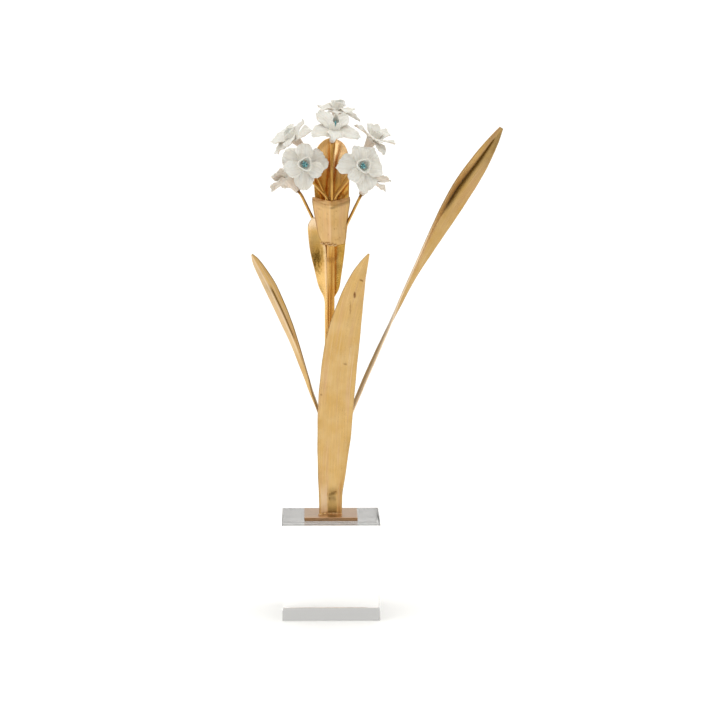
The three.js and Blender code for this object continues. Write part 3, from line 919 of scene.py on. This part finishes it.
def right_tone(point, v, face):
    """Painted shade in the right leaf's deep, nearly black fold and over its right half and
    upper blade, and a painted highlight on the left half and left edge of its lower blade."""
    z = point.z
    high = smoothstep(296, 335, z)
    # Painted shade in the fold.
    fold = 1.15 * bell(v, -0.02, 0.29) * smoothstep(318, 342, z)
    fold *= fade(386, 395, z) * (face > 0)
    # Painted shade over the right half and the upper blade, fading out at the left edge.
    half = 0.2 * high if v < 0 else 0.2 + 0.06 * high
    half += 0.2 * smoothstep(375, 392, z)
    half += 0.14 * high * rough(v * 3, z / 20, 7)
    half *= smoothstep(220, 250, z)
    half *= 1 - 0.75 * smoothstep(-0.88, -0.97, v)
    # Painted highlight on the left half and along the left edge of the lower blade.
    pale = 0.6 * smoothstep(0.1, -0.2, v) * (1 - high) * smoothstep(225, 255, z)
    pale = max(pale, 0.7 * smoothstep(-0.6, -0.85, v) * (1 - high))
    stalk = 0.3 * smoothstep(-0.75, -0.5, v) * fade(225, 250, z)
    rim = 0.45 * smoothstep(-0.94, -1.0, v) * high
    return max(foot_scorch(z), stalk, rim), max(fold, half), pale


def back_bract_tone(point, v, face):
    """Painted highlight on the upper end, strongest on the right, and next to the stem, and
    painted shade low on the right half.
    """
    # Painted highlight on the upper end and next to the stem.
    pale = (0.3 + 0.2 * smoothstep(-0.2, 0.3, v)) * smoothstep(348, 372, point.z)
    pale += 0.25 * fade(296, 310, point.z) * smoothstep(0.75, 0.1, abs(v))
    # Painted shade low on the right half.
    dark = 0.2 * smoothstep(0, 0.5, v) * fade(300, 315, point.z)
    return 0.4 * smoothstep(0.95, 1.0, abs(v)), dark, pale


def left_bract_tone(point, v, face):
    """Painted shade as a dark patch in the middle and a darker amber zone round it, and
    painted highlight along the stem and at the upper end.
    """
    x, z = point.x, point.z
    # Painted shade: the dark patch and the amber zone round it.
    patch = math.hypot((x + 10.8) / 7, (z - 294.5) / 15)
    patch = 0.9 * fade(0, 1.15, patch + 0.35 * rough(x / 1.5, z / 2.5, 5))
    amber = math.hypot((x + 12.5) / 8, (z - 302) / 20)
    amber = 0.5 * fade(0.3, 1.15, amber)
    # Painted highlight along the stem and at the upper end, over a slight even paling.
    pale = max(0.5 * smoothstep(0.4, 0.8, v), 0.75 * smoothstep(312, 323, z), 0.2)
    return 0.3 * smoothstep(0.95, 1.0, abs(v)), max(patch, amber), pale * (1 - patch)


def front_bract_tone(point, v, face):
    """Painted shade as a thin dark line along the ridge and over the right half, a painted
    highlight just left of the ridge, and a scorched weld.
    """
    # Painted shade along the ridge and over the right half.
    line = 0.3 * bell(v, 0.015, 0.016)
    half = 0.17 * smoothstep(0, 0.05, v)
    weld = math.hypot((point.x + 3) / 6.5, (point.z - 305.5) / 3)
    weld = fade(0.4, 1.1, weld)
    weld *= max(rough(point.x / 1.3, point.z / 0.9), 0)
    specks = 0.5 * smoothstep(0.35, 0.75, rough(point.x / 0.7, point.z / 0.9, 3))
    worn = max(0.6 * smoothstep(0.9, 0.98, abs(v)), 1.4 * weld, specks)
    # The last share is a painted highlight just left of the ridge.
    return worn, max(line, half), 0.25 * smoothstep(-0.12, -0.03, v) * (v < 0)


def front_bract_shape():
    """A sheet folded along its ridge, with its lower right corner drawn out."""
    half_widths = [[station[3]] for station in FRONT_BRACT]

    def surface(v, t):
        x, y, z, half, edge_y, edge_z = spline(FRONT_BRACT, t)
        if v > 0:
            half += 4.2 * fade(0, 0.45, t)
        side = math.sqrt(v * v + 0.002) - 0.045
        forward = y + (edge_y - y) * side
        height = z + (edge_z - z) * side
        forward += 0.35 * rough(v * half / 6, z / 8, 2.2) * (1 - v * v)
        height += 0.5 * rough(v * half / 7, 0.3, 6.4) * smoothstep(0.6, 1.0, t)
        return Vector((x + v * half, forward, height))

    def half_at(t):
        return spline(half_widths, t)[0]

    return surface, half_at


def add_blades():
    """The leaves and bracts: name, stations, shape, finish, tone and seed of each."""
    left_leaf = blade_shape(LEFT_LEAF, 0.1, 0.2)
    right_leaf = blade_shape(RIGHT_LEAF, 0.08, 0.25)
    back_bract = blade_shape(BACK_BRACT, 0.08, 0.3)
    left_bract = blade_shape(LEFT_BRACT, 0.1, 0.1)
    blades = [
        ("leaf_front", FRONT_LEAF, front_leaf_shape(), GILT, front_tone, 0),
        ("leaf_left", LEFT_LEAF, left_leaf, GILT, left_tone, 100),
        ("leaf_right", RIGHT_LEAF, right_leaf, GILT, right_tone, 200),
        ("bract_back", BACK_BRACT, back_bract, DEEP_GILT, back_bract_tone, 400),
        ("bract_left", LEFT_BRACT, left_bract, DEEP_GILT, left_bract_tone, 500),
        ("bract_front", FRONT_BRACT, front_bract_shape(), PALE_GILT, front_bract_tone, 600),
    ]
    for name, stations, shape, finish, tone_at, seed in blades:
        bm = new_mesh()
        rows = even_rows(stations, BLADE_STEP)
        thickness = LEAF_THICKNESS if name.startswith("leaf") else BRACT_THICKNESS
        add_sheet(bm, *shape, rows, thickness, BLADE_RING, seed, tone_at)
        add_piece(bm, f"gilt_{name}", finish, [name])


# Wires


def seat_point(bloom):
    """The middle of a wire's foot beside the stem bar."""
    quarter = math.pi / 2
    if "corner" in bloom:
        reach = STEM_SIDE / math.sqrt(2) + GAP + WIRE_RADIUS
        return Vector((reach, 0)), STEM_TURN + (bloom["corner"] + 0.5) * quarter
    face, side = bloom["face"]
    reach = STEM_SIDE / 2 + GAP + WIRE_RADIUS
    apart = WIRE_RADIUS + GAP / 2
    return Vector((reach, side * apart)), STEM_TURN + face * quarter


def bent_path(points, bend):
    """Points close together along straight stretches with a round bend between them."""
    spots = [points[0]]
    for before, knee, after in zip(points, points[1:], points[2:]):
        start = knee + (before - knee).normalized() * bend
        stop = knee + (after - knee).normalized() * bend
        for i in range(7):
            t = i / 6
            spots.append(start.lerp(knee, t).lerp(knee.lerp(stop, t), t))
    spots.append(points[-1])
    path = [spots[0]]
    for a, b in zip(spots, spots[1:]):
        count = max(1, math.ceil((b - a).length / WIRE_STEP))
        path += [a.lerp(b, (i + 1) / count) for i in range(count)]
    return path


def add_wire(bm, path, radius, seed, stain_at):
    """Adds a round wire along a path."""
    tangents = [
        (path[min(i + 1, len(path) - 1)] - path[max(i - 1, 0)]).normalized()
        for i in range(len(path))
    ]
    side = tangents[0].orthogonal().normalized()
    sides = [side]
    for before, tangent in zip(tangents, tangents[1:]):
        side = before.rotation_difference(tangent) @ side
        sides.append(side)
    lengths = [0.0]
    for a, b in zip(path, path[1:]):
        lengths.append(lengths[-1] + (b - a).length)

    def place(turn, row):
        angle = 2 * math.pi * turn
        up = tangents[row].cross(sides[row])
        out = sides[row] * math.cos(angle) + up * math.sin(angle)
        wide = radius * (1 + 0.05 * rough(turn * 2, lengths[row] / 3, seed))
        point = path[row] + out * wide
        grain = (radius * math.cos(angle), lengths[row], radius * math.sin(angle) + seed)
        return point, grain, stain_at(lengths[row], lengths[-1])

    skin(bm, WIRE_RING, len(path), place)


def wire_stain(distance, total):
    """Stained where the wire enters the porcelain, and at its brazed foot."""
    mouth = smoothstep(total - 8.5, total - 6, distance)
    foot = 0.5 * fade(1, 5, distance)
    return max(0.9 * mouth, foot), 0.22, 0


def add_bloom_wire(name, bloom, number):
    """A wire that climbs beside the bar and bends out into the bloom's tube."""
    centre = Vector(bloom["centre"])
    axis = Vector(bloom["axis"]).normalized()
    seat, turn = seat_point(bloom)
    foot = Vector((seat.x, seat.y, 0))
    foot.rotate(Quaternion((0, 0, 1), turn))
    points = [Vector((foot.x, foot.y, z)) for z in bloom["climb"]]
    points.append(centre - axis * (TUBE_LENGTH + WIRE_BEND + WIRE_STUB))
    points.append(centre + axis * (SOCKET_DEPTH - TUBE_LENGTH - GAP))
    bm = new_mesh()
    add_wire(bm, bent_path(points, WIRE_BEND), WIRE_RADIUS, 31 * number, wire_stain)
    add_piece(bm, f"gilt_wire_{name}", AMBER_GILT, [f"wire_{name}"])


# Blooms


def cup_profile(radius, height):
    """Half section of tube, hub and cup, from the socket round to the cup's floor."""
    socket = [
        (0, SOCKET_DEPTH - TUBE_LENGTH),
        (SOCKET_RADIUS, SOCKET_DEPTH - TUBE_LENGTH),
        (SOCKET_RADIUS, -TUBE_LENGTH + 0.3),
        (SOCKET_RADIUS + 0.2, -TUBE_LENGTH + 0.02),
    ]
    outside = [
        (2.1, -TUBE_LENGTH),
        (2.35, -TUBE_LENGTH + 0.3),
        (2.55, -0.84 * TUBE_LENGTH),
        (2.8, -0.72 * TUBE_LENGTH),
        (3.3, -0.54 * TUBE_LENGTH),
        (3.85, -0.36 * TUBE_LENGTH),
        (4.5, -0.18 * TUBE_LENGTH),
        (HUB_RADIUS, -0.9),
        (0.96 * HUB_RADIUS, 0.3),
        (0.93 * HUB_RADIUS, CUP_FLOOR),
        (0.84 * radius, 0.36 * height),
        (0.92 * radius, 0.66 * height),
        (radius, height - 0.6),
        (radius - 0.05, height - 0.15),
        (radius - 0.45, height + 0.08),
        (radius - 0.9, height - 0.15),
        (radius - 1.05, height - 0.7),
        (0.92 * radius - 1.05, 0.66 * height),
        (0.84 * radius - 1.0, 0.36 * height),
        (3.5, 2.1),
        (3.0, 1.45),
        (2.0, CUP_FLOOR),
    ]
    count = 3 * (len(outside) - 1)
    smooth = [spline(outside, i / count) for i in range(count + 1)]
    return socket + smooth + [(0, CUP_FLOOR)]


def add_turned(bm, profile, steps):
    """Adds a body of revolution about z and returns its vertices."""
    made = [bm.verts.new((r * MM, 0, z * MM)) for r, z in profile]
    edges = [bm.edges.new(pair) for pair in zip(made, made[1:])]
    before = set(bm.verts) - set(made)
    bmesh.ops.spin(
        bm,
        geom=made + edges,
        cent=(0, 0, 0),
        axis=(0, 0, 1),
        angle=2 * math.pi,
        steps=steps,
        use_merge=True,
    )
    verts = [vert for vert in bm.verts if vert not in before]
    bmesh.ops.remove_doubles(bm, verts=verts, dist=MERGE_DISTANCE)
    return [vert for vert in bm.verts if vert not in before]


def shape_cup(bm, verts, bloom, seed):
    """Pulls the cup out of round, ribs it, waves its rim and cuts its nick."""
    grain, tone = layers(bm)
    height = bloom["cup"][1]
    beak = math.radians(bloom["beak"])
    for vert in verts:
        x, y, z = vert.co / MM
        vert[grain] = (x, z, y + seed)
        angle = math.atan2(y, x)
        grow = smoothstep(CUP_FLOOR, height, z)
        inner = z > 1 and math.hypot(x, y) < HUB_RADIUS - 0.6 - 0.2 * (z < 2)
        flare = 1 + grow * bloom.get("flare", 0.15) * math.cos(3 * (angle - beak))
        flare += 0.022 * grow * math.cos(17 * angle + seed)
        outer = math.hypot(x, y) > 1.8
        if z < -1 and outer:
            flare += 0.03 * math.cos(6 * angle) * smoothstep(-14, -6, z)
            flare += 0.03 * rough(x / 2, y / 2, z / 3)
        rise = grow * (0.5 * math.cos(2 * (angle - beak)) + 0.18 * math.cos(5 * angle))
        z += rise
        if "notch" in bloom and grow > 0:
            off = angle - math.radians(bloom["notch"])
            off = math.atan2(math.sin(off), math.cos(off))
            drop = 0.55 * bell(off, 0, 0.3)
            z = CUP_FLOOR + (z - CUP_FLOOR) * (1 - drop)
        back = bloom.get("lean", 0) * max(z - CUP_FLOOR, 0)
        narrow = 1 - bloom.get("squeeze", 0) * grow * grow
        vert.co = Vector((x * flare * narrow, y * flare + back, z)) * MM
        # Painted shade deep inside the cup.
        painted_throat_shade = inner * fade(0.35 * height, 0.8 * height, z)
        vert[tone] = (0.85 * fade(-5, 0.5, z), 0.04 * painted_throat_shade, 0)


def add_petal(bm, petal, layer_z, phase, seed):
    """Adds one petal, ribbed along its length and crinkled towards its edge."""
    direction, length, lift, blunt = petal
    rise = math.radians(lift)
    spin = Quaternion((0, 0, 1), math.radians(direction))
    span = length - PETAL_ROOT
    pairs = zip(POINTED_HALF_WIDTHS, BLUNT_HALF_WIDTHS)
    widths = [[(a + (b - a) * blunt) * length / 19] for a, b in pairs]
    skew = 3 * rough(seed * 3.1, 0.5)

    def half_at(u):
        return spline(widths, u)[0]

    def surface(v, u):
        half = half_at(u) * (1 + 0.12 * rough(u * 4.5, 2 * (v > 0) + seed, phase))
        reach = u * span + skew * v * u ** 4 + 1.2 * u ** 3 * rough(v * 3.2, seed, phase)
        across = v * half
        z = 0.9 * math.sin(math.pi * u)
        z += 0.9 * u * v * math.sin(2.2 * math.pi * u + phase)
        z += 0.8 * math.sin(math.pi * u) * v * v
        z += 0.7 * v ** 4 * math.sin(11 * u + phase * 2 + 2 * (v > 0))
        z += 1.1 * u * rough(v * 1.5, u * 2.6, seed + 0.5)
        edge = u * u * (0.3 + 0.7 * v * v)
        z += 1.6 * edge * rough(across / 2.4, reach / 2.4, seed + 7)
        ribs = math.sin(2.2 * across + 2 * rough(u * 2, seed)) + math.sin(3.7 * across + seed)
        z += 0.13 * smoothstep(0.05, 0.4, u) * ribs
        z -= 0.35 * bell(across, 0, 0.9) * (1 - 0.8 * u)
        place = (PETAL_ROOT + reach * math.cos(rise), across, reach * math.sin(rise))
        return spin @ (Vector(place) + Vector((0, 0, z + layer_z)))

    def tone_at(point, v, face):
        return (0.5, 0, 0) if face > 0 else (0, 0, 0)

    rows = []
    for i in range(PETAL_ROWS + 1):
        u = i / PETAL_ROWS
        u = u + 0.6 * u * (1 - u) * (u - 0.35)
        rows.append((u, u * span, min(u, 1 - u) * span))
    add_sheet(bm, surface, half_at, rows, PETAL_THICKNESS, PETAL_RING, seed, tone_at)


def to_bloom(bloom):
    """Matrix from a bloom's own frame to the row frame."""
    axis = Vector(bloom["axis"]).normalized()
    turn = Vector((0, 0, 1)).rotation_difference(axis)
    return Matrix.Translation(Vector(bloom["centre"]) * MM) @ turn.to_matrix().to_4x4()


def add_bloom(name, bloom, number):
    """A tube and cup with six petals in two layers."""
    bm = new_mesh()
    seed = 50.0 + 17 * number
    cup = add_turned(bm, cup_profile(*bloom["cup"]), CUP_STEPS)
    shape_cup(bm, cup, bloom, seed)
    turn = math.radians(bloom["beak"])
    for n, petal in enumerate(bloom["petals"]):
        layer = OUTER_LAYER_Z if n < OUTER_PETALS else INNER_LAYER_Z
        add_petal(bm, petal, layer, turn + 1.7 * n, seed + 2.3 * n)
    bmesh.ops.transform(bm, matrix=to_bloom(bloom), verts=bm.verts)
    add_piece(bm, f"porcelain_{name}", PORCELAIN, [f"bloom_{name}"])


def add_drop(bm, centre, size, lean, darkness, seed):
    """Adds a rounded drop of glaze. size is its half width and half height."""
    grain, tone = layers(bm)
    made = bmesh.ops.create_uvsphere(bm, u_segments=20, v_segments=14, radius=1)
    place = Matrix.Translation(Vector(centre) * MM) @ lean.to_matrix().to_4x4()
    place @= Matrix.Diagonal((size[0] * MM, size[0] * MM, size[1] * MM, 1))
    for vert in made["verts"]:
        x, y, z = vert.co
        vert[tone] = (darkness * (0.6 - 0.4 * z), 0, 0)
        vert.co *= 1 + 0.1 * rough(2 * x + seed, 2 * y, 2 * z)
        vert[grain] = (x * size[0] + seed, z * size[1], y * size[0])
    bmesh.ops.transform(bm, matrix=place, verts=made["verts"])


def add_centre(name, bloom, number):
    """Glazed stamens standing in a pool of glaze on the cup's floor."""
    bm = new_mesh()
    floor = CUP_FLOOR + GAP
    tall = CENTRE_REACH * bloom["cup"][1] - floor
    upright = Quaternion()
    add_drop(bm, (0, 0, floor + 0.4), (2.1, 0.4), upright, 1.0, 3 * number)
    for i in range(STAMENS):
        angle = math.radians(360 / STAMENS * i + bloom["beak"])
        out = Vector((math.cos(angle), math.sin(angle), 0))
        lean = Quaternion(Vector((-out.y, out.x, 0)), math.radians(14 + 8 * (i % 2)))
        reach = tall * (0.9 - 0.2 * (i % 3))
        spot = out * (1.55 + 0.4 * (i % 2))
        spot.z = floor + reach / 2
        thick = 0.72 + 0.18 * (i % 3 == 0)
        add_drop(bm, spot, (thick, reach / 2), lean, 1.1 * (i % 2), 3 * number + i)
    add_drop(bm, (0, 0, floor + tall / 2), (0.6, tall / 2), upright, 0.0, number)
    bmesh.ops.transform(bm, matrix=to_bloom(bloom), verts=bm.verts)
    add_piece(bm, f"glaze_{name}", GLAZE, [f"centre_{name}"])


# Brazing: beads of gilded filler along the leaves' feet and round the wires' feet


def add_bead(bm, centre, radius, flat, seed):
    """Adds a lumpy bead. flat is its height as a share of its width."""
    grain, tone = layers(bm)
    made = bmesh.ops.create_icosphere(bm, subdivisions=3, radius=1)
    for vert in made["verts"]:
        x, y, z = vert.co
        swell = radius * (1 + 0.22 * rough(x * 1.4 + seed, y * 1.4, z * 1.4))
        vert[grain] = (x * radius + seed, z * radius, y * radius)
        vert[tone] = (1.3 * max(rough(x * 2 + seed, y * 2, z * 2 + 5), 0), 0, 0.15)
        vert.co = (Vector(centre) + Vector((x, y, z * flat)) * swell) * MM


def add_brazing():
    """Beads round the feet of the leaves and the bar, and round those of the wires and
    under the front bract."""
    bm = new_mesh()
    surface, _ = front_leaf_shape()
    for i in range(FOOT_BEADS):
        v = FOOT_BEAD_REACH * (2 * i / (FOOT_BEADS - 1) - 1)
        spot = surface(v, 0)
        size = 0.85 + 0.5 * rough(i * 0.7, 2) + 0.35 * (v < -0.4)
        forward = 0.5 + 0.8 * (v < -0.4) + 0.6 * rough(i * 1.3, 7)
        add_bead(bm, (spot.x, spot.y - forward, PLATE_TOP + 0.3), size, 0.85, i)
    for side in (-1, 1):
        for i in range(SIDE_BEADS):
            off = i - (SIDE_BEADS - 1) / 2
            y = 1.8 + SIDE_BEAD_STEP * off
            x = side * (5.6 + 0.3 * abs(off))
            size = 0.8 + 0.3 * rough(i * 0.9, side * 3)
            add_bead(bm, (x, y, PLATE_TOP + BEAD_LIFT), size, 0.75, 20 + i + 9 * side)
    for i in range(STEM_BEADS):
        angle = STEM_TURN + i * 2 * math.pi / STEM_BEADS
        reach = 2.7 if i % 2 == 0 else 3.4
        x, y = reach * math.cos(angle), reach * math.sin(angle)
        add_bead(bm, (x, y, PLATE_TOP + BEAD_LIFT), 0.9, 0.75, 50 + i)
    add_piece(bm, "braze_foot", GILT)

    bm = new_mesh()
    for number, bloom in enumerate(BLOOMS.values()):
        seat, turn = seat_point(bloom)
        foot = Vector((seat.x - 0.6, seat.y, 0))
        foot.rotate(Quaternion((0, 0, 1), turn))
        for i in range(3):
            z = bloom["climb"][0] + 0.6 + 4.5 * i
            spot = (foot.x, foot.y, z)
            add_bead(bm, spot, 1.35 - 0.12 * i, 1.2, 70 + 3 * number + i)
    for i in range(WELD_BEADS):
        x = -7.5 + WELD_STEP * i
        y = -4.6 - 1.2 * bell(x, 0, 4)
        z = 304.6 + 2.4 * rough(i * 0.8, 4) + 1.2 * (x < -2)
        size = 0.85 + 0.5 * rough(i * 1.1, 9)
        add_bead(bm, (x, y, z), size, 0.8, 120 + i)
    add_piece(bm, "braze_head", GILT)


# Studio


def add_stage():
    """A round pale floor that gives off a trace of light, so it renders near white."""
    bm = bmesh.new()
    bmesh.ops.create_circle(bm, cap_ends=True, segments=96, radius=FLOOR_RADIUS)
    bmesh.ops.translate(bm, vec=(0, 0, -FLOOR_DROP), verts=bm.verts)
    mesh = bpy.data.meshes.new("floor")
    bm.to_mesh(mesh)
    bm.free()
    material, tree = new_material("pale floor")
    finish_material(
        tree,
        {
            "Base Color": linear("#f4f4f3"),
            "Roughness": 0.9,
            "Emission Color": linear("#ffffff"),
            "Emission Strength": 0.12,
        },
    )
    mesh.materials.append(material)
    add_object("floor", mesh)


def add_sun(name, azimuth, elevation, strength, spread):
    """A wide soft light. Azimuth 0 is the viewer's side, and positive is to the right."""
    light = bpy.data.lights.new(name, "SUN")
    light.energy = strength
    light.angle = math.radians(spread)
    turn, tilt = math.radians(azimuth), math.radians(90 - elevation)
    add_object(name, light).rotation_euler = (tilt, 0, turn)


def add_lighting():
    """A pale room: dim behind the viewer, bright overhead, with a soft box on the left."""
    world = bpy.data.worlds.new("studio")
    bpy.context.scene.world = world
    world.use_nodes = True
    tree = world.node_tree
    tree.nodes.clear()
    direction = add_node(tree, "ShaderNodeTexCoord").outputs["Generated"]
    bright = ROOM_BRIGHTNESS
    for towards, width, strength in SOFT_BOXES:
        facing = add_node(
            tree,
            "ShaderNodeVectorMath",
            (direction, Vector(towards).normalized()),
            operation="DOT_PRODUCT",
        )
        glow = add_node(
            tree,
            "ShaderNodeMapRange",
            (facing, math.cos(math.radians(width)), 1, 0, strength),
            interpolation_type="SMOOTHSTEP",
        )
        bright = add_node(tree, "ShaderNodeMath", (bright, glow), operation="ADD")
    sky = {"Color": linear("#fffefb"), "Strength": bright}
    background = add_node(tree, "ShaderNodeBackground", sky)
    add_node(tree, "ShaderNodeOutputWorld", {"Surface": background})
    add_sun("key", *KEY_SUN)


def add_camera():
    """A long lens from a little above, as in the photo."""
    data = bpy.data.cameras.new("photo camera")
    data.sensor_width = CAMERA_SENSOR
    data.lens = CAMERA_LENS
    data.clip_end = 100
    camera = add_object("photo camera", data)
    camera.location = CAMERA_PLACE
    camera.rotation_euler = (math.radians(CAMERA_TILT), 0, math.radians(CAMERA_TURN))
    bpy.context.scene.camera = camera


add_base()
add_stem()
add_blades()
for number, (name, bloom) in enumerate(BLOOMS.items()):
    add_bloom_wire(name, bloom, number)
    add_bloom(name, bloom, number)
    add_centre(name, bloom, number)
add_brazing()
add_stage()
add_lighting()
add_camera()
bpy.context.scene.view_settings.view_transform = "Standard"
